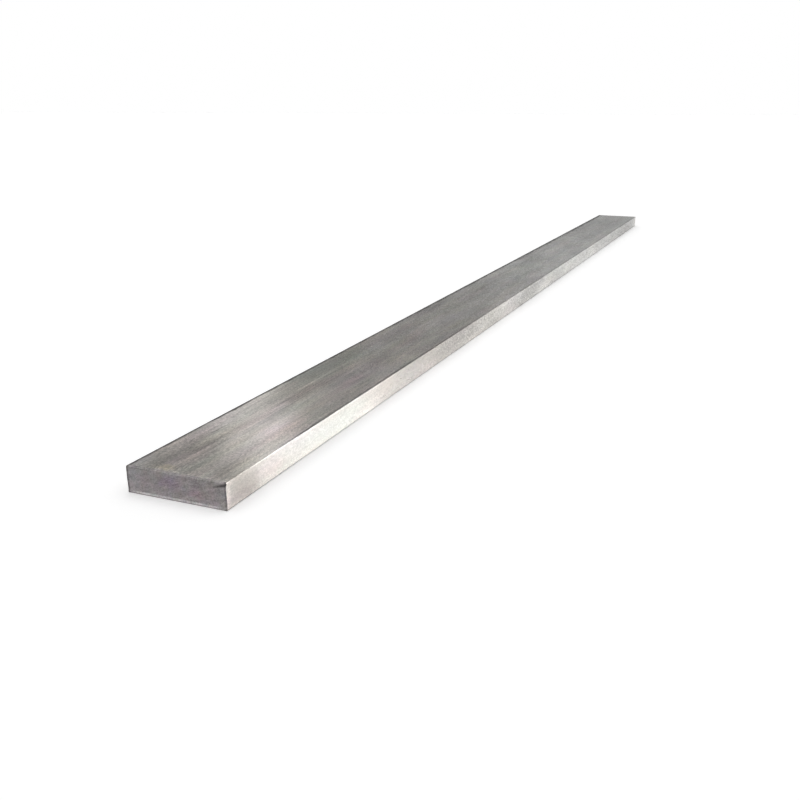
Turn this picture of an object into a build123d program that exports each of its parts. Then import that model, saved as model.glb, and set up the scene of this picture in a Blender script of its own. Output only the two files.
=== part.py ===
from build123d import *

import os

# Metal flat bar, one length of rolled stock, in millimetres.
# The length runs along X, the width along Y and the thickness along Z.
# The origin is the middle of the lower wide face, so the bar rests on Z = 0.

# Stock size, measured over everything.
LENGTH = 2000.0
WIDTH = 100.0
THICKNESS = 25.0

# Rolled section: the four long arrises are eased, not knife-sharp.
ARRIS_RADIUS = 1.0

# Shear-cut end, from the face that the blade entered to the opposite face.
ROLL_IN_RUN = 2.6  # how far along the bar the entered edge is drawn in
ROLL_IN_DROP = 1.6  # how deep that rounding goes into the thickness
LAND_HEIGHT = 10.0  # the smooth band that the blade burnished
BREAK_LEAN = 0.4  # how far the torn break leans back, which is the gap between the blades
BURR_HEIGHT = 2.4  # bead left along the last edge to part
BURR_REACH = 0.3  # how far the bead stands out from the foot of the break


def rolled_section() -> Sketch:
    """The bar's cross-section, on the plane across its length."""
    return Plane.YZ * Pos(0, THICKNESS / 2) * RectangleRounded(WIDTH, THICKNESS, ARRIS_RADIUS)


def sheared_end() -> Wire:
    """Side view of the end at -X, from the upper face down to the lower face.

    The blade entered the upper face: its edge is drawn in, a burnished land follows,
    then the metal tore back to the lower edge and left a burr bead there.
    """
    end_x = -LENGTH / 2
    land_top = THICKNESS - ROLL_IN_DROP
    foot_x = end_x + BREAK_LEAN

    roll_in = EllipticalCenterArc(
        (end_x + ROLL_IN_RUN, land_top), ROLL_IN_RUN, ROLL_IN_DROP, start_angle=90, arc_size=90
    )
    land = Line(roll_in @ 1, (end_x, land_top - LAND_HEIGHT))
    torn_break = Line(land @ 1, (foot_x, BURR_HEIGHT))
    burr = SagittaArc(torn_break @ 1, (foot_x, 0), -BURR_REACH)
    return Wire([roll_in, land, torn_break, burr])


def side_outline() -> Sketch:
    """Side view of the whole bar. One shear cut both ends in turn, so they are alike after
    half a turn about the bar's middle: the far end was entered from the lower face."""
    near_end = sheared_end()
    middle = Axis((0, THICKNESS / 2, 0), (0, 0, 1))
    far_end = near_end.rotate(middle, 180)
    lower_face = Line(near_end @ 1, far_end @ 0)
    upper_face = Line(far_end @ 1, near_end @ 0)
    return Plane.XZ * make_face([near_end, lower_face, far_end, upper_face])


def flat_bar() -> Part:
    """The rolled section run over the full length and cropped to the sheared side view."""
    rolled_stock = extrude(rolled_section(), LENGTH / 2, both=True)
    sheared_view = extrude(side_outline(), WIDTH, both=True)
    return rolled_stock & sheared_view


os.makedirs("parts", exist_ok=True)
export_step(flat_bar(), "parts/flat_bar.step")
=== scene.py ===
"""Looks of one length of brushed steel flat bar, built around its packed construction model.

Everything is in metres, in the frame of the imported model: X along the bar, Y across its
width, Z up through its thickness, and the bar lying on Z = 0. The near end is at X = -1 and
the front narrow face at Y = -0.05.
"""

import logging
import math
from dataclasses import dataclass, field, fields
from enum import Enum
from typing import Any, Callable, Optional, Union

import bpy
from bpy.types import Material, Node, NodeSocket, NodeTree, Object
from mathutils import Matrix, Vector


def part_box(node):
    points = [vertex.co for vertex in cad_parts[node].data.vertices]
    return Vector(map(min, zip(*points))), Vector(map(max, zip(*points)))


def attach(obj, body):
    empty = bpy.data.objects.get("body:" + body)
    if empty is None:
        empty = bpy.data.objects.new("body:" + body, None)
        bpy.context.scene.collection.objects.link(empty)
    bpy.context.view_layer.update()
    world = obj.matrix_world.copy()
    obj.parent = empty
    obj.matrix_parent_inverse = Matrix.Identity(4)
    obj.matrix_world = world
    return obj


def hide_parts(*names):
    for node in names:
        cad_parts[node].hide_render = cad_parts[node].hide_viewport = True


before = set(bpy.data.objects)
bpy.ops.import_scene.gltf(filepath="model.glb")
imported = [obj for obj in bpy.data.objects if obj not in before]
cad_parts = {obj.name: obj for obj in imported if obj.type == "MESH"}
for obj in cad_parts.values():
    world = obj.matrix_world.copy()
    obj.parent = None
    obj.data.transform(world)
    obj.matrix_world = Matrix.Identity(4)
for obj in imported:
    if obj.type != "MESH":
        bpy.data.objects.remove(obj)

log = logging.getLogger("flat_bar")

IMAGE_SIDE_PX = 800.0
SENSOR_WIDTH_MM = 36.0
OPEN_BEAM = 90.0

Colour = tuple[float, float, float]
Point = tuple[float, float, float]
Span = tuple[float, float]
Number = Union["Value", float]
# some tone patches are stained spots, and some are painted highlight and painted shade
TonePatch = tuple[Span, Span, Colour]  # centre and reach on its side, and what it multiplies by

WHITE: Colour = (1.0, 1.0, 1.0)
MID_GREY: Colour = (0.5, 0.5, 0.5)


# --- Wiring: node trees written as arithmetic ---


class Tree(Enum):
    """The kinds of node tree that this file builds."""

    SHADER = "ShaderNodeTree"
    GEOMETRY = "GeometryNodeTree"


class Socket(Enum):
    """The kinds of socket on a node group's interface."""

    FLOAT = "NodeSocketFloat"
    VECTOR = "NodeSocketVector"
    COLOUR = "NodeSocketColor"
    MATERIAL = "NodeSocketMaterial"
    GEOMETRY = "NodeSocketGeometry"


def over_math(operation: str, swapped: bool = False) -> Callable[..., "Value"]:
    """A method of Value that adds a Math node, over it and any other number."""

    def method(self: "Value", *others: Number) -> "Value":
        """Adds the node."""
        return self.wiring.math(operation, *((*others, self) if swapped else (self, *others)))

    return method


def over_range(course: str) -> Callable[..., "Value"]:
    """A method of Value that runs from start at low to end at high, and stays there."""

    def method(
        self: "Value", low: Number, high: Number, start: Number = 0.0, end: Number = 1.0
    ) -> "Value":
        """Adds a clamped Map Range node."""
        inputs = {"Value": self, "From Min": low, "From Max": high, "To Min": start, "To Max": end}
        kind = "ShaderNodeMapRange"
        wiring = self.wiring
        return wiring.value(wiring.node(kind, inputs, interpolation_type=course, clamp=True))

    return method


class Value:
    """A number worked out by a node tree. Python arithmetic on it adds Math nodes.

    A ramp is straight and a fade is smooth. Both go from 0 to 1 unless told otherwise.
    """

    def __init__(self, wiring: "Wiring", socket: NodeSocket) -> None:
        """Wraps one output socket of the wiring's tree."""
        self.wiring = wiring
        self.socket = socket

    __add__ = over_math("ADD")
    __radd__ = over_math("ADD", swapped=True)
    __sub__ = over_math("SUBTRACT")
    __rsub__ = over_math("SUBTRACT", swapped=True)
    __mul__ = over_math("MULTIPLY")
    __rmul__ = over_math("MULTIPLY", swapped=True)
    __truediv__ = over_math("DIVIDE")
    __rtruediv__ = over_math("DIVIDE", swapped=True)
    __pow__ = over_math("POWER")
    __abs__ = over_math("ABSOLUTE")
    sign = over_math("SIGN")
    root = over_math("SQRT")
    at_least = over_math("MAXIMUM")
    at_most = over_math("MINIMUM")
    above = over_math("GREATER_THAN")
    ramp = over_range("LINEAR")
    fade = over_range("SMOOTHSTEP")

    def swing(self, strength: Number) -> "Value":
        """How far a noise from 0 to 1 lies off its middle, times a strength."""
        return (self - 0.5) * strength

    def shares(self, span: Span) -> tuple["Value", "Value"]:
        """Two shares of this number."""
        return self * span[0], self * span[1]


class Wiring:
    """Adds nodes to one tree and links them."""

    def __init__(self, tree: NodeTree) -> None:
        """Starts on a tree, which may already hold nodes."""
        self.tree = tree

    def node(self, kind: str, inputs: Optional[dict] = None, **settings: Any) -> Node:
        """Adds a node.

        Args:
            kind: the node's Blender type name.
            inputs: what goes into its sockets, by socket name or index.
            settings: the node's own properties, which are set before the inputs.

        Returns:
            The new node.
        """
        made = self.tree.nodes.new(kind)
        for name, setting in settings.items():
            setattr(made, name, setting)
        self.fill(made, inputs or {})
        return made

    def fill(self, node: Node, inputs: dict) -> None:
        """Feeds several sockets of a node, by name or index."""
        for key, value in inputs.items():
            self.feed(node.inputs[key], value)

    def feed(self, socket: NodeSocket, value: Any) -> None:
        """Links a Value or an output socket to a socket, or sets the socket to a constant."""
        if isinstance(value, Value):
            value = value.socket
        if isinstance(value, NodeSocket):
            self.tree.links.new(value, socket)
        else:
            socket.default_value = value

    def value(self, node: Node, output: Union[str, int] = 0) -> Value:
        """One output of a node, as a Value."""
        return Value(self, node.outputs[output])

    def math(self, operation: str, *values: Number) -> Value:
        """Adds a Math node over the values."""
        inputs = dict(enumerate(values))
        return self.value(self.node("ShaderNodeMath", inputs, operation=operation))

    def vector_math(self, operation: str, *values: Any) -> Node:
        """Adds a Vector Math node over the values."""
        return self.node("ShaderNodeVectorMath", dict(enumerate(values)), operation=operation)

    def vector(self, x: Number, y: Number, z: Number) -> NodeSocket:
        """A vector with these components."""
        return self.node("ShaderNodeCombineXYZ", {"X": x, "Y": y, "Z": z}).outputs[0]

    def components(self, vector: NodeSocket) -> tuple[Value, Value, Value]:
        """The X, Y and Z of a vector."""
        parts = self.node("ShaderNodeSeparateXYZ", {0: vector})
        return self.value(parts, "X"), self.value(parts, "Y"), self.value(parts, "Z")

    def noise(self, *cells: Any, detail: float = 2.0, roughness: float = 0.5) -> Value:
        """Soft noise from 0 to 1 over a vector, or three numbers, already in noise cells."""
        place = self.vector(*cells) if len(cells) > 1 else cells[0]
        inputs = {"Vector": place, "Scale": 1.0, "Detail": detail, "Roughness": roughness}
        return self.value(self.node("ShaderNodeTexNoise", inputs))

    def mix_colours(
        self, factor: Number, first: Any, second: Any, blend: str = "MIX"
    ) -> NodeSocket:
        """Mixes two colours.

        Args:
            factor: 0 for the first colour, 1 for the second.
            first: a colour, an output socket or a Value.
            second: a colour, an output socket or a Value.
            blend: Blender's name for the way of mixing.

        Returns:
            The mixed colour.
        """
        inputs = {"Factor": factor, 6: opaque(first), 7: opaque(second)}
        made = self.node("ShaderNodeMix", inputs, data_type="RGBA", blend_type=blend)
        return made.outputs[2]

    def tint(self, colour: Any, tint: Any, factor: Number = 1.0) -> NodeSocket:
        """Multiplies a colour by a tint or a tone, in full or by a factor."""
        return self.mix_colours(factor, colour, tint, "MULTIPLY")


class Group(Wiring):
    """A node group under work, with named inputs and outputs."""

    def __init__(self, name: str, kind: Tree, takes: dict, gives: dict[str, Socket]) -> None:
        """Starts the group.

        Args:
            name: the group's name.
            kind: the kind of tree.
            takes: the inputs by name, each a number for its default or a kind of socket.
            gives: the outputs by name.
        """
        super().__init__(bpy.data.node_groups.new(name, kind.value))
        face = self.tree.interface
        for label, given in takes.items():
            socket = given if isinstance(given, Socket) else Socket.FLOAT
            made = face.new_socket(name=label, in_out="INPUT", socket_type=socket.value)
            if given is not socket:
                made.default_value = given
        for label, socket in gives.items():
            face.new_socket(name=label, in_out="OUTPUT", socket_type=socket.value)
        entry = self.node("NodeGroupInput")
        self.inputs = {label: entry.outputs[label] for label in takes}
        self.result = self.node("NodeGroupOutput")

    def number(self, label: str) -> Value:
        """One of the group's inputs, as a Value."""
        return Value(self, self.inputs[label])

    def give(self, label: str, value: Any) -> None:
        """Links what was worked out to one of the group's outputs."""
        self.feed(self.result.inputs[label], value)


def opaque(colour: Any) -> Any:
    """A plain colour with its alpha. A socket or a Value is passed through."""
    return (*colour, 1.0) if isinstance(colour, tuple) else colour


def blank_material(name: str) -> tuple[Material, Wiring, Node]:
    """Starts a material.

    Args:
        name: the material's name.

    Returns:
        The material, its wiring and its Principled shader, which is already linked.
    """
    material = bpy.data.materials.new(name)
    material.use_nodes = True
    material.node_tree.nodes.clear()
    wiring = Wiring(material.node_tree)
    shader = wiring.node("ShaderNodeBsdfPrincipled")
    wiring.node("ShaderNodeOutputMaterial", {"Surface": shader.outputs[0]})
    return material, wiring, shader


def add_object(name: str, data: bpy.types.ID) -> Object:
    """Makes an object of this data and puts it in the scene, at the origin."""
    made = bpy.data.objects.new(name, data)
    bpy.context.scene.collection.objects.link(made)
    return made


# --- Finishes: shared effects, then the materials that use them ---


class Effects:
    """The shader node groups of the steel finishes, each built once.

    A cell is the length and the width of a patch of noise. An edge is the two shares of a
    mark's reach between which it fades out.
    """

    BAND_CELL: Span = (0.45, 0.007)
    STREAK_CELL: Span = (0.065, 0.0034)
    FLECK_CELL: Span = (0.0028, 0.0013)
    DRIFT_CELL: Span = (0.22, 0.04)
    DRIFT = 0.006
    PATCH_CELL: Span = (0.1, 0.02)
    PATCH_DRAW = 7.0
    PATCH_NOISE: Span = (0.35, 0.65)
    PATCH_STRENGTH: Span = (0.35, 1.65)
    HUE_SCALE = 1.7
    NIBBLE_CELL: Span = (0.025, 0.012)
    NIBBLE_NOISE: Span = (0.3, 0.7)
    NIBBLE_REACH: Span = (0.6, 1.5)
    SKIN_EDGE: Span = (0.5, 1.3)
    STAIN_EDGE: Span = (0.2, 1.1)
    STAIN_RAGGEDNESS = 1.4

    def __init__(self) -> None:
        """Builds every group."""
        self.grain = self.build_grain()
        self.clouds = self.build_clouds()
        self.arris = self.build_arris()
        self.stain = self.build_stain()

    def build_grain(self) -> NodeTree:
        """Marks of an abrasive belt that ran along X: bands, streaks and short flecks.

        Returns:
            The group, whose height is that of the finer two.
        """
        gives = dict.fromkeys(("Bands", "Streaks", "Flecks", "Height"), Socket.FLOAT)
        group = Group("Belt Grain", Tree.SHADER, {"Place": Socket.VECTOR}, gives)
        x, y, z = group.components(group.inputs["Place"])

        def lines(cell: Span, drift: Number, detail: float) -> Value:
            """Noise drawn out into lines along X, which drift sideways."""
            length, width = cell
            y_cells, z_cells = (y + drift) / width, (z + drift) / width
            return group.noise(x / length, y_cells, z_cells, detail=detail, roughness=0.6)

        drift = lines(self.DRIFT_CELL, 0.0, detail=1.0).swing(self.DRIFT)
        patches = lines(self.PATCH_CELL, self.PATCH_DRAW, detail=1.0)
        flecks = lines(self.FLECK_CELL, drift, detail=3.0)
        strength = patches.ramp(*self.PATCH_NOISE, *self.PATCH_STRENGTH)
        uneven = lines(self.STREAK_CELL, drift, detail=3.0).swing(strength) + 0.5
        group.give("Bands", lines(self.BAND_CELL, drift, detail=2.0))
        group.give("Streaks", uneven)
        group.give("Flecks", flecks)
        group.give("Height", uneven * 0.5 + flecks * 0.5)
        return group.tree

    def build_clouds(self) -> NodeTree:
        """Slow changes of tone and tint, as uneven rolling, pickling and handling leave.

        Returns:
            The group, whose tone is from 0 to 1 and whose tint is about white.
        """
        takes = {
            "Place": Socket.VECTOR,
            "Patch Length": 0.15,
            "Patch Width": 0.03,
            "Tint Strength": 0.12,
        }
        gives = {"Tone": Socket.FLOAT, "Tint": Socket.COLOUR}
        group = Group("Cloudy Tone", Tree.SHADER, takes, gives)
        x, y, z = group.components(group.inputs["Place"])
        length, width = group.number("Patch Length"), group.number("Patch Width")
        cells = group.vector(x / length, y / width, z / width)
        inputs = {"Vector": cells, "Scale": self.HUE_SCALE, "Detail": 2.0}
        hues = group.node("ShaderNodeTexNoise", inputs)
        off_grey = group.vector_math("SUBTRACT", hues.outputs["Color"], MID_GREY)
        strength = group.inputs["Tint Strength"]
        tint = group.vector_math("MULTIPLY_ADD", off_grey.outputs[0], strength, WHITE)
        group.give("Tone", group.noise(cells, detail=4.0, roughness=0.65))
        group.give("Tint", tint.outputs[0])
        return group.tree

    def build_arris(self) -> NodeTree:
        """Bands along the long arrises: mill scale left on the upper ones, which the belt does not
        reach, and painted shade along the foot.

        Returns:
            The group, whose mask is 1 on the arrises and 0 on the faces.
        """
        takes = {"Place": Socket.VECTOR, "Width": 0.1, "Thickness": 0.025, "Skin Width": 0.0016}
        group = Group("Arris Skin", Tree.SHADER, takes, {"Mask": Socket.FLOAT})
        x, y, z = group.components(group.inputs["Place"])
        from_side = group.number("Width") / 2 - abs(y)
        from_face = z.at_most(group.number("Thickness") - z)
        length, width = self.NIBBLE_CELL
        nibbles = group.noise(x / length, y / width, z / width, detail=4.0, roughness=0.65)
        reach = group.number("Skin Width") * nibbles.ramp(*self.NIBBLE_NOISE, *self.NIBBLE_REACH)
        farther = from_side.at_least(from_face)
        group.give("Mask", farther.fade(*reach.shares(self.SKIN_EDGE), 1.0, 0.0))
        return group.tree

    def build_stain(self) -> NodeTree:
        """One soft, ragged patch at a place.

        Returns:
            The group, whose mask is 1 in the middle of the patch.
        """
        takes = dict.fromkeys(("Place", "Centre", "Reach"), Socket.VECTOR)
        group = Group("Soft Stain", Tree.SHADER, takes, {"Mask": Socket.FLOAT})
        offset = group.vector_math("SUBTRACT", group.inputs["Place"], group.inputs["Centre"])
        scaled = group.vector_math("DIVIDE", offset.outputs[0], group.inputs["Reach"]).outputs[0]
        distance = group.value(group.vector_math("LENGTH", scaled), "Value")
        ragged = group.noise(scaled, detail=3.0, roughness=0.6).swing(self.STAIN_RAGGEDNESS)
        group.give("Mask", (distance + ragged).fade(*self.STAIN_EDGE, 1.0, 0.0))
        return group.tree


class Side(Enum):
    """A side of the bar with tone patches: its axis, its level there and how deep a patch reaches.
    """

    TOP = (2, 0.025, 0.008)
    FRONT = (1, -0.05, 0.006)
    NEAR_END = (0, -1.0, 0.006)

    def in_space(self, pair: Span, off_side: float) -> Point:
        """A pair in the plane of this side, with the number along the side's axis put in."""
        axis = self.value[0]
        return (*pair[:axis], off_side, *pair[axis:])


@dataclass(frozen=True)
class Stretch:
    """A length of the bar on which a mark comes in and then dies away to what is left."""

    start: Span
    end: Span
    left: float

    def share(self, x: Value) -> Value:
        """How strong the mark is at each place along the bar, from 0 to 1."""
        return x.fade(*self.start) * x.fade(*self.end, 1.0, self.left)


class Surface(Wiring):
    """A steel surface under work: its material, its shader and where each point of it is."""

    def __init__(self, name: str, effects: Effects, width: float, thickness: float) -> None:
        """Starts the material, on a bar of this section."""
        self.material, wiring, self.shader = blank_material(name)
        super().__init__(wiring.tree)
        self.effects = effects
        self.width = width
        self.thickness = thickness
        self.place = self.node("ShaderNodeTexCoord").outputs["Object"]
        self.x, self.y, self.z = self.components(self.place)
        self.at_back = self.y.above(0.0)

    def effect(self, group: NodeTree, inputs: Optional[dict] = None) -> Node:
        """Adds one of the shared groups at this surface's place."""
        inputs = {"Place": self.place, **(inputs or {})}
        return self.node("ShaderNodeGroup", inputs, node_tree=group)

    def stain(self, colour: NodeSocket, side: Side, stains: tuple[TonePatch, ...]) -> NodeSocket:
        """Lays the tone patches of one side over a colour: stained spots, painted highlight and
        painted shade.

        Args:
            colour: the colour so far.
            side: the side that the patches lie on.
            stains: the patches, in the order that they are laid.

        Returns:
            The colour with the patches on it.
        """
        _, level, depth = side.value
        for centre, reach, tint in stains:
            inputs = {"Centre": side.in_space(centre, level), "Reach": side.in_space(reach, depth)}
            patch = self.effect(self.effects.stain, inputs)
            colour = self.tint(colour, tint, self.value(patch, "Mask"))
        return colour

    def under(self, first: float, last: float) -> Value:
        """0 below the first depth under the upper face, 1 above the last one."""
        return self.z.fade(self.thickness - first, self.thickness - last)

    def zone(self, name: str) -> Value:
        """The share of one zone of the cut, which the mesh carries."""
        return self.value(self.node("ShaderNodeAttribute", attribute_name=name), "Fac")


@dataclass(frozen=True)
class BrushedSteel:
    """Rolled steel faces that were brushed along the bar with an abrasive belt.

    A contrast is how far a kind of mark takes the tone off its middle. A zone is where along
    X something changes, and a rim is the depths under the upper face between which it does.
    """

    steel: Colour = (0.545, 0.512, 0.480)
    # the far steel is more neutral in hue and lighter; its lightness is painted light along the
    # middle and far part of the bar
    far_steel: Colour = (0.584, 0.576, 0.549)
    far_steel_zone: Span = (-0.6, 0.2)
    # painted shade: the tone darkens towards the far end of the bar
    far_dulling: float = 0.33
    far_dulling_zone: Span = (0.15, 0.85)
    far_contrast: float = 1.3
    far_contrast_zone: Span = (-0.85, -0.2)
    darkest: float = 0.2
    band_contrast: float = 0.7
    streak_contrast: float = 1.0
    belt_fading: float = 0.60
    belt_fading_zone: Span = (-0.82, -0.5)
    fleck_contrast: float = 1.8
    cloud_contrast: float = 1.15
    speckle_contrast: float = 0.6
    speckle_roughness: float = 0.8
    speckle_cell: Span = (0.007, 0.0034)
    tint_strength: float = 0.17
    edge_rim: Span = (0.0010, 0.0004)
    edge_belt: float = 0.25
    edge_specks: float = 0.5
    edge_specks_zone: Span = (-0.65, -0.3)
    edge_speckle_loss: float = 0.25
    edge_tint_loss: float = 0.5
    # painted light: the tone grows lighter towards the foot, against the shade of the floor that
    # the lower part reflects
    foot_polish: float = 0.20
    foot_polish_height: float = 0.7
    # the dark colour of the mill scale on the upper arrises, and of the painted shade along the
    # foot
    skin: Colour = (0.055, 0.053, 0.052)
    skin_gloss: float = 0.12
    skin_roughness: float = 0.25
    back_skin: float = 0.95
    back_skin_zone: Span = (-1.0, 0.8)
    back_skin_width: Span = (0.0032, 0.0078)
    back_skin_rim: Span = (0.0024, 0.0010)
    front_skin: float = 0.75
    front_skin_width: float = 0.0029
    front_skin_rim: Span = (0.0008, 0.0003)
    front_skin_stretch: Stretch = Stretch((-0.93, -0.86), (-0.6, -0.2), 0.4)
    # painted shade: a dark band along the foot of the long faces, where the bar meets the floor
    foot_skin: float = 0.5
    foot_skin_height: Span = (0.0006, 0.0018)
    # painted highlight: a lighter band on the front narrow face just under its upper arris
    arris_shine: float = 0.08
    arris_shine_foot: Span = (0.0026, 0.0016)
    arris_shine_rim: Span = (0.0006, 0.0003)
    arris_shine_stretch: Stretch = Stretch((-0.9, -0.75), (-0.3, 0.2), 0.3)
    roughness: float = 0.32
    roughness_spread: float = 0.1
    anisotropy: float = 1.0
    grain_depth: float = 0.00002
    # from the near end on: a cool corner that is also painted light, an olive patch, thin dark and
    # light streaks, a green dark patch and a pink one, and pale and dark areas that are painted
    # highlight and painted shade, which shape the highlight band over the upper face and the light
    # along the near end
    top_stains: tuple[TonePatch, ...] = (
        ((-1.0, 0.046), (0.05, 0.018), (1.07, 1.12, 1.18)),
        ((-0.99, 0.015), (0.009, 0.012), (1.0, 1.0, 0.86)),
        ((-0.97, -0.038), (0.04, 0.018), (0.89, 0.88, 0.87)),
        ((-0.975, 0.002), (0.04, 0.024), (1.19, 1.19, 1.18)),
        ((-0.93, 0.035), (0.04, 0.018), (1.21, 1.2, 1.2)),
        ((-0.872, -0.03), (0.06, 0.022), (1.17, 1.12, 1.13)),
        ((-0.87, 0.002), (0.06, 0.024), (0.95, 0.91, 0.925)),
        ((-0.865, 0.005), (0.055, 0.0022), (1.18, 1.16, 1.15)),
        ((-0.88, -0.001), (0.035, 0.0018), (0.82, 0.82, 0.82)),
        ((-0.91, 0.014), (0.05, 0.0018), (0.84, 0.84, 0.84)),
        ((-0.835, 0.035), (0.055, 0.018), (0.86, 0.86, 0.86)),
        ((-0.83, 0.0), (0.04, 0.014), (0.85, 0.84, 0.85)),
        ((-0.78, 0.012), (0.045, 0.0035), (0.84, 0.82, 0.83)),
        ((-0.755, 0.012), (0.055, 0.05), (1.13, 1.11, 1.11)),
        ((-0.66, 0.034), (0.17, 0.028), (0.78, 0.83, 0.8)),
        ((-0.7, -0.018), (0.04, 0.012), (1.04, 0.96, 1.0)),
        ((-0.84, -0.044), (0.05, 0.0022), (1.14, 1.12, 1.14)),
        ((-1.0, 0.0), (0.014, 0.07), (1.22, 1.21, 1.22)),
    )
    # a painted highlight on the near corner and a whiter tint over the highlight, a dull spot, a
    # pink area and a darker low patch, then painted light and painted shade along the face to a
    # painted highlight on the far corner
    edge_stains: tuple[TonePatch, ...] = (
        ((-1.0, 0.0115), (0.009, 0.015), (1.33, 1.29, 1.32)),
        ((-0.83, 0.0125), (0.14, 0.05), (0.965, 1.015, 1.02)),
        ((-0.97, 0.011), (0.026, 0.018), (0.81, 0.795, 0.785)),
        ((-0.93, 0.011), (0.03, 0.013), (1.05, 0.99, 1.02)),
        ((-0.975, 0.005), (0.04, 0.008), (0.8, 0.78, 0.8)),
        ((-0.735, 0.0125), (0.045, 0.03), (1.11, 1.11, 1.1)),
        ((-0.32, 0.01), (0.14, 0.02), (1.12, 1.12, 1.11)),
        ((0.84, 0.0125), (0.12, 0.03), (0.67, 0.65, 0.65)),
        ((0.99, 0.0125), (0.035, 0.03), (1.2, 1.18, 1.17)),
    )

    def build(self, steel: Surface) -> Material:
        """Wires the finish up on a surface.

        Args:
            steel: the surface.

        Returns:
            The surface's material.
        """
        grain = steel.effect(steel.effects.grain)
        clouds = steel.effect(steel.effects.clouds, {"Tint Strength": self.tint_strength})
        length, breadth = self.speckle_cell
        cells = steel.x / length, steel.y / breadth, steel.z / breadth
        speckle = steel.noise(*cells, detail=3.0, roughness=0.75)
        on_edge = 1.0 - steel.under(*self.edge_rim)
        beyond = steel.x.fade(*self.belt_fading_zone)

        tone = self.tone(steel, grain, clouds, speckle, on_edge)
        # painted shade: darker towards the far end
        tone = tone * steel.x.fade(*self.far_dulling_zone, 1.0, 1.0 - self.far_dulling)
        # painted light: lighter towards the foot of the faces
        foot = steel.thickness * self.foot_polish_height
        tone = tone * steel.z.fade(0.0, foot, 1.0 + self.foot_polish, 1.0)
        # painted highlight: the tone is lifted in a band just under the front upper arris
        painted_highlight = steel.under(*self.arris_shine_foot) * (1.0 - steel.under(*self.arris_shine_rim))
        painted_highlight = painted_highlight * self.arris_shine_stretch.share(steel.x) * (1.0 - steel.at_back)
        tone = tone * (painted_highlight * self.arris_shine + 1.0)
        # the colour shifts to the far steel along the bar, partly as painted light
        metal = steel.mix_colours(steel.x.fade(*self.far_steel_zone), self.steel, self.far_steel)
        evenness = 1.0 - on_edge * self.edge_tint_loss
        colour = steel.tint(steel.tint(metal, clouds.outputs["Tint"], evenness), tone)
        colour = steel.stain(colour, Side.TOP, self.top_stains)
        colour = steel.stain(colour, Side.FRONT, self.edge_stains)
        skin = self.skin_mask(steel)

        streaks = steel.value(grain, "Streaks").swing(self.roughness_spread)
        rough = streaks + self.roughness + skin * self.skin_roughness
        rough = rough + speckle.swing(self.speckle_roughness) * beyond
        height = steel.value(grain, "Height") * self.grain_depth
        bump = steel.node("ShaderNodeBump", {"Strength": 1.0, "Distance": 1.0, "Height": height})
        across = steel.node("ShaderNodeTangent", direction_type="RADIAL", axis="X")
        inputs = {
            "Base Color": steel.mix_colours(skin, colour, self.skin),
            "Roughness": rough,
            "Normal": bump.outputs[0],
            "Tangent": across.outputs[0],
            "Metallic": 1.0 - skin,
            "Anisotropic": self.anisotropy,
            "Specular IOR Level": self.skin_gloss,
        }
        steel.fill(steel.shader, inputs)
        return steel.material

    def tone(
        self, steel: Surface, grain: Node, clouds: Node, speckle: Value, on_edge: Value
    ) -> Value:
        """How the belt marks, the specks and the clouds change the tone of the steel.

        Args:
            steel: the surface.
            grain: the belt's marks.
            clouds: the slow changes.
            speckle: the coarse specks that show further along.
            on_edge: 1 on the narrow faces.

        Returns:
            The tone, about 1.
        """
        belt = steel.value(grain, "Bands").swing(self.band_contrast)
        belt = belt + steel.value(grain, "Streaks").swing(self.streak_contrast)
        beyond = steel.x.fade(*self.belt_fading_zone)
        belt = belt * (1.0 - beyond * self.belt_fading)
        specks = steel.value(grain, "Flecks").swing(self.fleck_contrast)
        specks = specks + steel.value(clouds, "Tone").swing(self.cloud_contrast)
        kept = 1.0 - on_edge * self.edge_speckle_loss
        specks = specks + speckle.swing(self.speckle_contrast) * beyond * kept
        calm = on_edge * steel.x.fade(*self.edge_specks_zone, 1.0 - self.edge_specks, 0.0)
        marks = belt * (1.0 - on_edge * (1.0 - self.edge_belt)) + specks * (1.0 - calm)
        strength = steel.x.ramp(*self.far_contrast_zone, 1.0, self.far_contrast)
        return (marks * strength + 1.0).at_least(self.darkest)

    def skin_mask(self, steel: Surface) -> Value:
        """Where dark mill scale is left on the back upper arris and the worn front one, and a band
        of painted shade along the foot.

        Args:
            steel: the surface.

        Returns:
            The share of mill scale and painted foot shade, from 0 to 1.
        """
        at_back, at_front = steel.at_back, 1.0 - steel.at_back
        reach = steel.x.ramp(*self.back_skin_zone, *self.back_skin_width) * at_back
        reach = reach + at_front * self.front_skin_width
        sizes = {"Width": steel.width, "Thickness": steel.thickness, "Skin Width": reach}
        arris = steel.effect(steel.effects.arris, sizes)
        back = steel.under(*self.back_skin_rim) * self.back_skin
        worn = self.front_skin_stretch.share(steel.x) * steel.under(*self.front_skin_rim)
        # painted shade along the foot of the long faces
        on_foot = steel.z.fade(*self.foot_skin_height, 1.0, 0.0)
        strength = at_back * back + at_front * worn * self.front_skin
        return steel.value(arris, "Mask") * (strength + on_foot * self.foot_skin)


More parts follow.
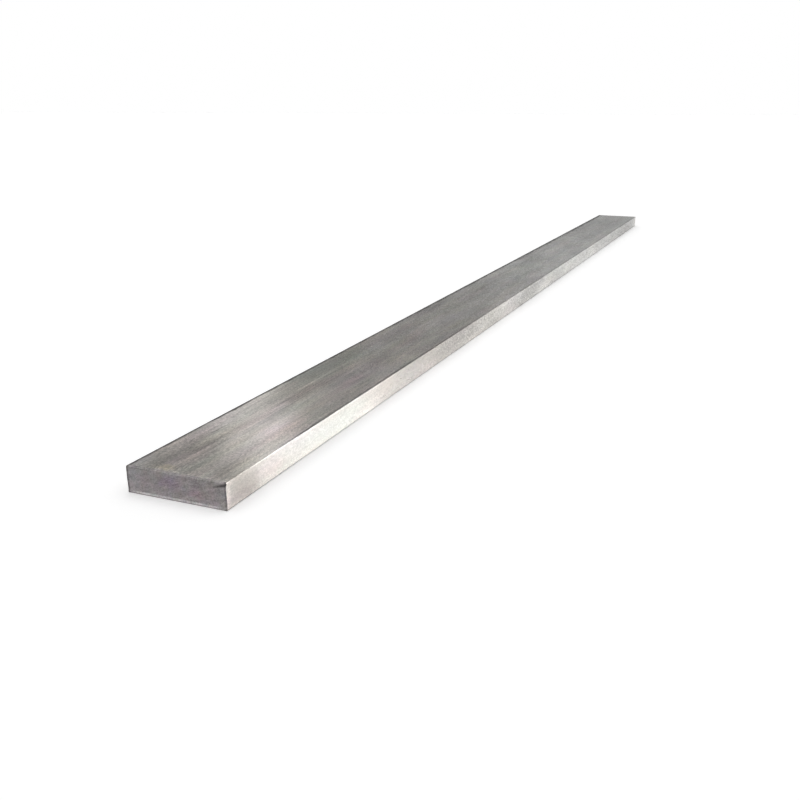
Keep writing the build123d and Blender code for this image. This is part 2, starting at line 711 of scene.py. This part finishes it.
@dataclass(frozen=True)
class ShearedSteel:
    """The cut end: burnished where the blade rubbed, torn below, drawn in at the top.

    A cell is the two sizes of a patch of noise. The side's dark is for the back, then front.
    """

    land: Colour = (0.237, 0.219, 0.220)
    # the torn zone's colour is lighter than the land's as painted light, against the shade of the
    # floor that the torn zone faces
    torn: Colour = (0.279, 0.259, 0.260)
    rim: Colour = (0.415, 0.390, 0.384)
    # the lip's lighter colour is partly burnished metal on the burr and partly a painted highlight
    # along the bead
    lip: Colour = (0.50, 0.485, 0.485)
    cloud_cell: Span = (0.01, 0.016)
    cloud_tint: float = 0.17
    slant: float = math.radians(20.0)
    mottle_cell: Span = (0.011, 0.0028)
    mottle_contrast: float = 1.35
    grit_cell: Span = (0.0017, 0.0014)
    grit_contrast: float = 1.5
    grain_depth: float = 0.00006
    darkest: float = 0.3
    # painted shade inside the gouge beside the front corner
    nick_shade: float = 0.5
    # painted light: the cut grows lighter towards its foot, against the shade of the floor that
    # its lower part faces
    foot_shine: float = 0.30
    foot_shine_height: Span = (0.001, 0.010)
    side_line: float = 0.0022
    side_line_back: float = 0.0006
    side_line_edge: Span = (0.3, 1.1)
    side_dark: Span = (0.75, 0.42)
    fray_cell: float = 0.004
    fray_draw: float = 3.0
    fray_noise: Span = (0.15, 0.6)
    roughness_land: float = 0.38
    roughness_torn: float = 0.5
    roughness_rim: float = 0.75
    roughness_spread: float = 0.2
    stains: tuple[TonePatch, ...] = (
        ((0.007, 0.0155), (0.014, 0.008), (0.94, 0.88, 1.0)),
        ((-0.021, 0.01), (0.014, 0.005), (1.05, 0.95, 0.98)),
        ((0.034, 0.0245), (0.02, 0.002), (0.92, 0.93, 0.95)),
        ((-0.006, 0.014), (0.0035, 0.003), (1.12, 1.12, 1.14)),
        ((0.042, 0.017), (0.012, 0.009), (1.05, 1.1, 1.12)),
    )

    def build(self, steel: Surface) -> Material:
        """Wires the finish up on a surface.

        Args:
            steel: the surface.

        Returns:
            The surface's material.
        """
        length, breadth = self.cloud_cell
        sizes = {"Patch Length": length, "Patch Width": breadth, "Tint Strength": self.cloud_tint}
        clouds = steel.effect(steel.effects.clouds, sizes)
        along = steel.z * math.sin(self.slant) - steel.y * math.cos(self.slant)
        across = steel.z * math.cos(self.slant) + steel.y * math.sin(self.slant)
        length, breadth = self.mottle_cell
        mottle = steel.noise(0.0, along / length, across / breadth, detail=3.0, roughness=0.65)
        length, breadth = self.grit_cell
        grit = steel.noise(0.0, steel.y / length, steel.z / breadth, detail=3.0, roughness=0.7)

        cell = self.fray_cell
        fray = steel.noise(self.fray_draw, steel.y / cell, steel.z / cell, detail=3.0)
        reach = steel.at_back * self.side_line_back + self.side_line
        from_side = steel.width / 2 - abs(steel.y)
        line = from_side.fade(*reach.shares(self.side_line_edge), 1.0, 0.0)
        line = line * fray.ramp(*self.fray_noise)
        back, front = self.side_dark
        dark = steel.at_back * (back - front) + front

        torn, rim = steel.zone("torn"), steel.zone("rim")
        # land and torn colours, the torn one lightened as painted light
        base = steel.mix_colours(torn, self.land, self.torn)
        rimmed = steel.mix_colours(rim, base, self.rim)
        # the lip's colour, partly a painted highlight on the burr
        lit = steel.mix_colours(steel.zone("lip"), rimmed, self.lip)
        tone = mottle.swing(self.mottle_contrast) + grit.swing(self.grit_contrast) + 1.0
        # painted light: lighter towards the foot of the cut
        tone = tone * steel.z.fade(*self.foot_shine_height, 1.0 + self.foot_shine, 1.0)
        tone = tone.at_least(self.darkest) * (1.0 - line * dark)
        # painted shade: darker inside the gouge
        tone = tone * (1.0 - steel.zone("nick") * self.nick_shade)
        colour = steel.tint(steel.tint(lit, tone), clouds.outputs["Tint"])
        rough = torn * (self.roughness_torn - self.roughness_land) + self.roughness_land
        rough = rough * (1.0 - rim) + rim * self.roughness_rim
        relief = {"Strength": 1.0, "Distance": self.grain_depth, "Height": grit + mottle}
        inputs = {
            "Base Color": steel.stain(colour, Side.NEAR_END, self.stains),
            "Roughness": rough + mottle.swing(self.roughness_spread),
            "Normal": steel.node("ShaderNodeBump", relief).outputs[0],
            "Metallic": 1.0,
        }
        steel.fill(steel.shader, inputs)
        return steel.material


# --- The bar ---


class Shaping(Group):
    """The bar's node tree under work, with the mesh as it is so far."""

    mesh: NodeSocket

    def work(self, kind: str, inputs: Optional[dict] = None, **settings: Any) -> None:
        """Puts the mesh through one more node."""
        inputs = {"Geometry": self.mesh, **(inputs or {})}
        self.mesh = self.node(kind, inputs, **settings).outputs[0]

    def place(self) -> tuple[Value, Value, Value]:
        """Where each point is, at this stage."""
        return self.components(self.node("GeometryNodeInputPosition").outputs[0])

    def move(self, x: Number, y: Number, z: Number) -> None:
        """Puts every point where the three numbers say."""
        self.work("GeometryNodeSetPosition", {"Position": self.vector(x, y, z)})

    def store(self, name: str, value: Any, domain: str = "POINT") -> None:
        """Keeps a number on the mesh under a name."""
        inputs = {"Name": name, "Value": value}
        self.work("GeometryNodeStoreNamedAttribute", inputs, data_type="FLOAT", domain=domain)

    def read(self, name: str) -> Value:
        """Reads a number that the mesh keeps under a name."""
        kind = "GeometryNodeInputNamedAttribute"
        return self.value(self.node(kind, {"Name": name}, data_type="FLOAT"))


@dataclass
class ShearedBar:
    """The bar: rolled section, eased arrises and two shear-cut ends.

    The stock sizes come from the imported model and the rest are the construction's own. Every
    plain number is an input of the bar's node tree. Draws are places in the noise, kept apart
    so that no two kinds of unevenness are alike. The lip's foot and top are shares of the
    burr's height.
    """

    length: float
    width: float
    thickness: float
    arris_radius: float = 0.001
    roll_in_run: float = 0.0026
    roll_in_drop: float = 0.0016
    land_height: float = 0.01
    land_wander: float = 0.0016
    wander_width: float = 0.022
    break_lean: float = 0.0004
    burr_height: float = 0.0024
    burr_reach: float = 0.0003
    tooth_width: float = 0.006
    corner_ease: float = 0.0005
    tear_depth: float = 0.00025
    lump_width: float = 0.006
    lump_height: float = 0.0014
    ripple_width: float = 0.03
    ripple_height: float = 0.004
    rub_depth: float = 0.00008
    rub_width: float = 0.02
    rub_height: float = 0.002
    nick_depth: float = 0.001
    nick_height: float = 0.0008
    nick_slope: float = 0.27
    nick_length: float = 0.015
    face_wave: float = 0.00012
    end_zone: float = 0.014
    far_end_draw: float = 3.7
    rub_draw: float = 2.0
    tooth_draw: float = 5.0
    face_wave_draw: float = 7.0
    ripple_draw: float = 9.0
    edge_wave_cell: Span = (0.12, 0.03)
    face_wave_cell: Span = (0.16, 0.07)
    wave_end: Span = (0.9, 0.99)
    tear_start: Span = (0.0, 0.08)
    lump_share: Span = (0.6, 0.4)
    tooth_noise: Span = (0.3, 0.7)
    tooth_reach: Span = (0.6, 1.0)
    hold_shares: Span = (0.1, 1.0)
    nick_shares: Span = (0.25, 1.0)
    rim_shares: Span = (0.0, 0.4)
    lip_foot: Span = (0.35, 0.55)
    lip_top: Span = (0.9, 1.3)
    lip_end: Span = (0.001, 0.014)
    cells: tuple[int, int, int] = (96, 168, 64)
    crowding: tuple[float, float, float] = (2.0, 1.0, 1.4)
    border_cells: int = 6
    shaping: Shaping = field(init=False)

    def sizes(self) -> dict[str, float]:
        """The plain sizes, by the names that they have as inputs of the node tree."""
        plain = [item.name for item in fields(self) if item.type is float]
        return {name.replace("_", " ").title(): getattr(self, name) for name in plain}

    def build(self, faces: Material, ends: Material) -> Object:
        """Makes the bar as one closed mesh.

        Args:
            faces: the finish of the four long faces.
            ends: the finish of the two cut ends.

        Returns:
            The bar's object, at the origin with its place in its mesh.
        """
        tree = self.build_tree()
        carrier = add_object("bar_carrier", bpy.data.meshes.new("bar_carrier"))
        modifier = carrier.modifiers.new("bar", "NODES")
        modifier.node_group = tree
        given = {**self.sizes(), "Face Finish": faces, "End Finish": ends}
        for item in tree.interface.items_tree:
            if item.in_out == "INPUT" and item.name in given:
                modifier[item.identifier] = given[item.name]
        bpy.context.view_layer.update()
        evaluated = carrier.evaluated_get(bpy.context.evaluated_depsgraph_get())
        mesh = bpy.data.meshes.new_from_object(evaluated)
        bpy.data.objects.remove(carrier)
        mesh.name = "brushed_flat_bar"
        return add_object("brushed_flat_bar", mesh)

    def build_tree(self) -> NodeTree:
        """The node tree that shapes the bar.

        Returns:
            A tree whose inputs are the sizes and the two finishes.
        """
        finishes = dict.fromkeys(("Face Finish", "End Finish"), Socket.MATERIAL)
        takes = {"Blank": Socket.GEOMETRY, **self.sizes(), **finishes}
        bar = Shaping("Sheared Bar", Tree.GEOMETRY, takes, {"Bar": Socket.GEOMETRY})
        self.shaping = bar
        vertices = {f"Vertices {axis}": cells + 1 for axis, cells in zip("XYZ", self.cells)}
        blank = bar.node("GeometryNodeMeshCube", {"Size": (1.0, 1.0, 1.0), **vertices})
        bar.mesh = blank.outputs["Mesh"]
        self.mark_ends()
        self.spread_cells()
        self.round_arrises()
        self.wave_faces()
        self.shear_ends()
        bar.work("GeometryNodeSetShadeSmooth")
        bar.work("GeometryNodeRealizeInstances")
        bar.work("GeometryNodeSetMaterial", {"Material": bar.inputs["Face Finish"]})
        ends = {"Selection": bar.read("on_end"), "Material": bar.inputs["End Finish"]}
        bar.work("GeometryNodeSetMaterial", ends)
        bar.give("Bar", bar.mesh)
        return bar.tree

    def mark_ends(self) -> None:
        """Marks the faces of the two ends, and how far along the blank each point is."""
        bar = self.shaping
        facing, _, _ = bar.components(bar.node("GeometryNodeInputNormal").outputs[0])
        bar.store("on_end", abs(facing).above(0.5), "FACE")
        x, _, _ = bar.place()
        bar.store("along", x * 2.0)

    def spread_cells(self) -> None:
        """Stretches the unit blank to size, with small cells at the arrises and the ends."""
        bar, size = self.shaping, self.shaping.number
        wholes = size("Length"), size("Width"), size("Thickness")
        borders = size("End Zone"), size("Arris Radius"), size("Arris Radius")
        axes = zip(bar.place(), wholes, borders, self.cells, self.crowding)
        x, y, up = [self.spread(*axis) for axis in axes]
        bar.move(x, y, up + size("Thickness") / 2)

    def spread(
        self, unit: Value, whole: Value, border: Value, cells: int, crowding: float
    ) -> Value:
        """Spreads even cells so that a fixed number of them lies in the border.

        Args:
            unit: the place in the blank, from -0.5 to 0.5.
            whole: the size over everything.
            border: the width of the zone at each end that gets the small cells.
            cells: how many cells there are over the whole.
            crowding: 1 for even cells in the border, more for smaller ones at its rim.

        Returns:
            The place at real size, about the middle.
        """
        share = 2.0 * self.border_cells / cells
        out = abs(unit) * 2.0
        inner = out.ramp(0.0, 1.0 - share) * (whole / 2 - border)
        rim_gap = out.ramp(1.0 - share, 1.0, 1.0, 0.0)
        outer = (1.0 - rim_gap ** crowding) * border
        return (inner + outer) * unit.sign()

    def round_arrises(self) -> None:
        """Turns the square corners of the section, and the cells in them, into round ones."""
        bar = self.shaping
        x, y, z = bar.place()
        middle = bar.number("Thickness") / 2
        radius = bar.number("Arris Radius")
        up = z - middle
        flat_y = bar.number("Width") / 2 - radius
        flat_up = middle - radius
        over_y = (abs(y) - flat_y).at_least(0.0)
        over_up = (abs(up) - flat_up).at_least(0.0)
        slant = (over_y * over_y + over_up * over_up).root().at_least(1e-9)
        shrink = over_y.at_least(over_up) / slant
        round_y = (abs(y).at_most(flat_y) + over_y * shrink) * y.sign()
        round_up = (abs(up).at_most(flat_up) + over_up * shrink) * up.sign()
        bar.move(x, round_y, round_up + middle)

    def wave_faces(self) -> None:
        """Gives the long faces the slow unevenness of rolled stock, always inwards."""
        bar, size = self.shaping, self.shaping.number
        x, y, z = bar.place()
        fade = abs(bar.read("along")).ramp(*self.wave_end, 1.0, 0.0)
        length, breadth = self.edge_wave_cell
        bow_y = bar.noise(x / length, 0.0, z / breadth, detail=1.0)
        length, breadth = self.face_wave_cell
        bow_z = bar.noise(x / length, y / breadth, size("Face Wave Draw"), detail=1.0)
        bow_y, bow_z = [bow * size("Face Wave") * fade for bow in (bow_y, bow_z)]
        middle = size("Thickness") / 2
        in_y = y * (1.0 - bow_y * 2.0 / size("Width"))
        in_z = (z - middle) * (1.0 - bow_z * 2.0 / size("Thickness")) + middle
        waved = z.above(middle)
        bar.move(x, in_y, in_z * waved + z * (1.0 - waved))

    def shear_ends(self) -> None:
        """Shapes both ends as a shear leaves them, and marks the zones of the cut.

        The near end was entered from the upper face and the far end from the lower one.
        """
        bar, size = self.shaping, self.shaping.number
        x, y, z = bar.place()
        along = bar.read("along")
        far = along.above(0.0)
        height = z * (1.0 - far) + (size("Thickness") - z) * far
        draw = far * size("Far End Draw")

        def over_cut(name: str, draw: Value, detail: float, roughness: float = 0.5) -> Value:
            """Unevenness of the cut, with lumps as wide and high as the sizes of that name."""
            cells = y / size(f"{name} Width"), height / size(f"{name} Height"), draw
            return bar.noise(*cells, detail=detail, roughness=roughness)

        land_top = size("Thickness") - size("Roll In Drop")
        wander = bar.noise(y / size("Wander Width"), draw, 0.0).swing(2.0)
        land_foot = land_top - size("Land Height") + wander * size("Land Wander")
        drawn = height.ramp(land_top, size("Thickness"))
        roll_in = self.quarter_round(drawn, size("Roll In Run"))
        torn = height.ramp(land_foot, size("Burr Height"))
        tear_mask = torn.fade(*self.tear_start)
        lumps = over_cut("Lump", draw, detail=3.0, roughness=0.6) * self.lump_share[0]
        ripple = over_cut("Ripple", draw + size("Ripple Draw"), detail=1.0) * self.lump_share[1]
        tear = (lumps + ripple) * size("Tear Depth") * tear_mask
        rub = over_cut("Rub", draw + size("Rub Draw"), detail=2.0) * size("Rub Depth")
        over = (height / size("Burr Height")).at_most(1.0) * 2.0 - 1.0
        bead = (1.0 - over * over).at_least(0.0).root() * size("Burr Reach")
        teeth = bar.noise(y / size("Tooth Width"), draw + size("Tooth Draw"), 0.0)
        burr = bead * teeth.ramp(*self.tooth_noise, *self.tooth_reach)
        beyond = (abs(y) - (size("Width") / 2 - size("Corner Ease"))).at_least(0.0)
        eased = self.quarter_round(beyond / size("Corner Ease"), size("Corner Ease"))
        nick = self.corner_nick(y, height) * (1.0 - far)

        inset = roll_in + torn * size("Break Lean") - burr + eased
        inset = (inset + tear + rub + nick * size("Nick Depth")).at_least(0.0)
        depth = size("Length") / 2 - abs(x)
        hold = depth.fade(*size("End Zone").shares(self.hold_shares), 1.0, 0.0)
        bar.move((abs(x) - inset * hold) * along.sign(), y, z)
        lip = height.fade(*size("Burr Height").shares(self.lip_foot))
        lip = lip * height.fade(*size("Burr Height").shares(self.lip_top), 1.0, 0.0)
        from_corner = size("Width") / 2 - abs(y)
        bar.store("torn", tear_mask)
        bar.store("rim", drawn.fade(*self.rim_shares))
        bar.store("lip", lip * from_corner.fade(*self.lip_end))
        bar.store("nick", nick)

    @staticmethod
    def quarter_round(share: Value, run: Value) -> Value:
        """How far a quarter round has come in, from 0 to its run, as the share goes to 1."""
        return (1.0 - (1.0 - share * share).at_least(0.0).root()) * run

    def corner_nick(self, y: Value, height: Value) -> Value:
        """A short gouge under the drawn-in edge, beside the front corner.

        Args:
            y: where each point is across the bar.
            height: how high each point is over the face that the blade left by.

        Returns:
            The share of the gouge's depth, from 0 to 1.
        """
        size = self.shaping.number
        from_corner = y + size("Width") / 2
        level = size("Thickness") - size("Roll In Drop") - from_corner * size("Nick Slope")
        offset = (height - level) / size("Nick Height")
        bell = 1.0 / (1.0 + offset * offset * offset * offset)
        return bell * from_corner.fade(*size("Nick Length").shares(self.nick_shares), 1.0, 0.0)

    def fit(self, bar: Object) -> Object:
        """Makes the bar stand for its construction node.

        Args:
            bar: the finished piece.

        Returns:
            The same piece.
        """
        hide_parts("flat_bar")
        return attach(bar, "root")


# --- The studio ---


@dataclass(frozen=True)
class Softbox:
    """A rectangular lamp that faces a point. A glow of 1 is as bright as white paper.

    Its cone angle is from the bar's own direction, X, and its turn is about X from straight
    up towards the back, both in degrees. Its honeycomb grid keeps the light within the beam,
    given as half the opening angle.
    """

    name: str
    aim: Point
    cone: float
    turn: float
    distance: float
    size: Span
    glow: float
    beam: float = OPEN_BEAM

    def build(self) -> Object:
        """Makes the lamp, on its line from the aim, and turns it to face the aim.

        Returns:
            The lamp.
        """
        data = bpy.data.lights.new(self.name, "AREA")
        data.shape = "RECTANGLE"
        data.size, data.size_y = self.size
        data.energy = self.glow * math.pi * self.size[0] * self.size[1] * self.share_through_grid()
        data.spread = math.radians(self.beam) * 2.0
        cone, turn = math.radians(self.cone), math.radians(self.turn)
        off = math.sin(cone)
        line = Vector((math.cos(cone), off * math.sin(turn), off * math.cos(turn)))
        across = line.cross(Vector((1.0, 0.0, 0.0))).normalized()
        lamp = add_object(self.name, data)
        lamp.location = Vector(self.aim) + line * self.distance
        lamp.rotation_mode = "QUATERNION"
        axes = Matrix((across.cross(line), across, line)).transposed()
        lamp.rotation_quaternion = axes.to_quaternion()
        lamp.visible_camera = False
        return lamp

    def share_through_grid(self) -> float:
        """The share of an open lamp's power that keeps the same glow behind the grid."""
        if self.beam >= OPEN_BEAM:
            return 1.0
        half = math.radians(self.beam)
        return 1.0 - half / math.tan(half)


def seen_rays(wiring: Wiring) -> tuple[Value, Value]:
    """1 for rays the camera sees straight, and for those it sees by a mirror or glass."""
    path = wiring.node("ShaderNodeLightPath")
    indirect = wiring.value(path, "Is Glossy Ray") + wiring.value(path, "Is Transmission Ray")
    return wiring.value(path, "Is Camera Ray"), indirect.at_most(1.0)


@dataclass(frozen=True)
class Studio:
    """White floor, five softboxes, a grey room with a bright ceiling, and the camera.

    A rim is the two angles above the horizon, in degrees, between which something changes.
    """

    camera_place: Point = (-1.5723, -0.4474, 0.3172)
    camera_heading: float = math.radians(23.07)
    camera_pitch: float = math.radians(-17.96)
    clip: Span = (0.01, 100.0)
    focal_px: float = 913.2
    top_middle: Span = (0.0, 0.025)
    front_middle: Span = (-0.05, 0.0125)
    front_turn: float = -80.0
    floor_side: float = 60.0
    floor_white: Colour = (0.92, 0.92, 0.92)
    floor_roughness: float = 0.9
    floor_glow: float = 0.235
    room_grey: float = 0.29
    ceiling_glow: float = 1.34
    ceiling_rim: Span = (20.0, 62.0)
    ceiling_crowding: float = 2.5
    zenith_rim: Span = (68.0, 82.0)
    zenith_share: float = 0.45
    backdrop_rim: Span = (5.5, 17.0)
    backdrop_foot: Span = (4.0, 12.0)
    foot_shade: float = 0.1

    def build(self) -> None:
        """Makes the floor, the world, the lamps and the camera."""
        self.build_floor()
        self.build_world()
        for lamp in self.lamps():
            lamp.build()
            log.info("lamp %s", lamp.name)
        self.build_camera()
        bpy.context.scene.view_settings.view_transform = "Standard"

    def lamps(self) -> list[Softbox]:
        """One lamp for the highlight on the upper face, and four along the front narrow face.

        Returns:
            The lamps.
        """
        aim = (-0.87, *self.top_middle)
        lamps = [Softbox("back_softbox", aim, 37.3, 56.0, 3.0, (0.3, 0.8), 1.6)]
        for name, x, cone, distance, size, glow, beam in (
            ("front_softbox", -0.84, 36.3, 3.0, (0.50, 0.5), 20.7, 12.0),
            ("fill_softbox", -0.70, 31.0, 2.88, (0.3, 0.5), 6.3, 12.0),
            ("mid_softbox", -0.50, 24.7, 2.69, (0.35, 0.5), 1.4, 20.0),
            ("far_softbox", 0.0, 15.0, 10.0, (2.0, 1.6), 0.54, OPEN_BEAM),
        ):
            aim = (x, *self.front_middle)
            lamps.append(Softbox(name, aim, cone, self.front_turn, distance, size, glow, beam))
        return lamps

    def build_floor(self) -> Object:
        """A wide white floor that keeps the bar's shadow.

        Returns:
            The floor.
        """
        half = self.floor_side / 2
        mesh = bpy.data.meshes.new("floor")
        corners = [(-half, -half, 0.0), (half, -half, 0.0), (half, half, 0.0), (-half, half, 0.0)]
        mesh.from_pydata(corners, [], [(0, 1, 2, 3)])
        material, wiring, shader = blank_material("white_floor")
        straight, mirrored = seen_rays(wiring)
        inputs = {
            "Base Color": opaque(self.floor_white),
            "Roughness": self.floor_roughness,
            "Specular IOR Level": 0.0,
            "Emission Color": opaque(WHITE),
            "Emission Strength": (straight + mirrored).at_most(1.0) * self.floor_glow,
        }
        wiring.fill(shader, inputs)
        mesh.materials.append(material)
        return add_object("floor", mesh)

    def build_world(self) -> None:
        """Grey room, bright ceiling that is dimmer right overhead, white backdrop low down."""
        world = bpy.data.worlds.new("studio")
        bpy.context.scene.world = world
        world.use_nodes = True
        world.node_tree.nodes.clear()
        wiring = Wiring(world.node_tree)
        _, _, up = wiring.components(wiring.node("ShaderNodeTexCoord").outputs["Generated"])
        backdrop = up.fade(*self.rises(self.backdrop_rim), 1.0, 0.0)
        backdrop = backdrop * up.fade(*self.rises(self.backdrop_foot), self.foot_shade, 1.0)
        ceiling = up.ramp(*self.rises(self.ceiling_rim)) ** self.ceiling_crowding
        ceiling = ceiling * self.ceiling_glow
        ceiling = ceiling * up.fade(*self.rises(self.zenith_rim), 1.0, self.zenith_share)
        straight, mirrored = seen_rays(wiring)
        white = straight.at_least(mirrored * backdrop)
        strength = (ceiling + self.room_grey) * (1.0 - white) + white
        inputs = {"Color": opaque(WHITE), "Strength": strength}
        shade = wiring.node("ShaderNodeBackground", inputs)
        wiring.node("ShaderNodeOutputWorld", {"Surface": shade.outputs[0]})

    @staticmethod
    def rises(angles: Span) -> Span:
        """How high two directions point, of 1, that rise by these angles in degrees."""
        return math.sin(math.radians(angles[0])), math.sin(math.radians(angles[1]))

    def build_camera(self) -> None:
        """The camera, level, looking down along the bar."""
        data = bpy.data.cameras.new("camera")
        data.sensor_width = SENSOR_WIDTH_MM
        data.lens = self.focal_px / IMAGE_SIDE_PX * SENSOR_WIDTH_MM
        data.clip_start, data.clip_end = self.clip
        flat, heading = math.cos(self.camera_pitch), self.camera_heading
        ahead = flat * math.cos(heading), flat * math.sin(heading), math.sin(self.camera_pitch)
        camera = add_object("camera", data)
        camera.location = self.camera_place
        camera.rotation_mode = "QUATERNION"
        camera.rotation_quaternion = Vector(ahead).to_track_quat("-Z", "Y")
        bpy.context.scene.camera = camera


def main() -> None:
    """Builds the bar and the studio."""
    logging.basicConfig(level=logging.INFO, format="%(name)s: %(message)s")
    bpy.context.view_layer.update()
    low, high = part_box("flat_bar")
    length, width, thickness = high - low
    effects = Effects()
    faces = BrushedSteel().build(Surface("brushed_steel", effects, width, thickness))
    ends = ShearedSteel().build(Surface("sheared_steel", effects, width, thickness))
    maker = ShearedBar(length, width, thickness)
    bar = maker.fit(maker.build(faces, ends))
    log.info("bar %s with %d faces", bar.name, len(bar.data.polygons))
    Studio().build()


if __name__ == "__main__":
    main()
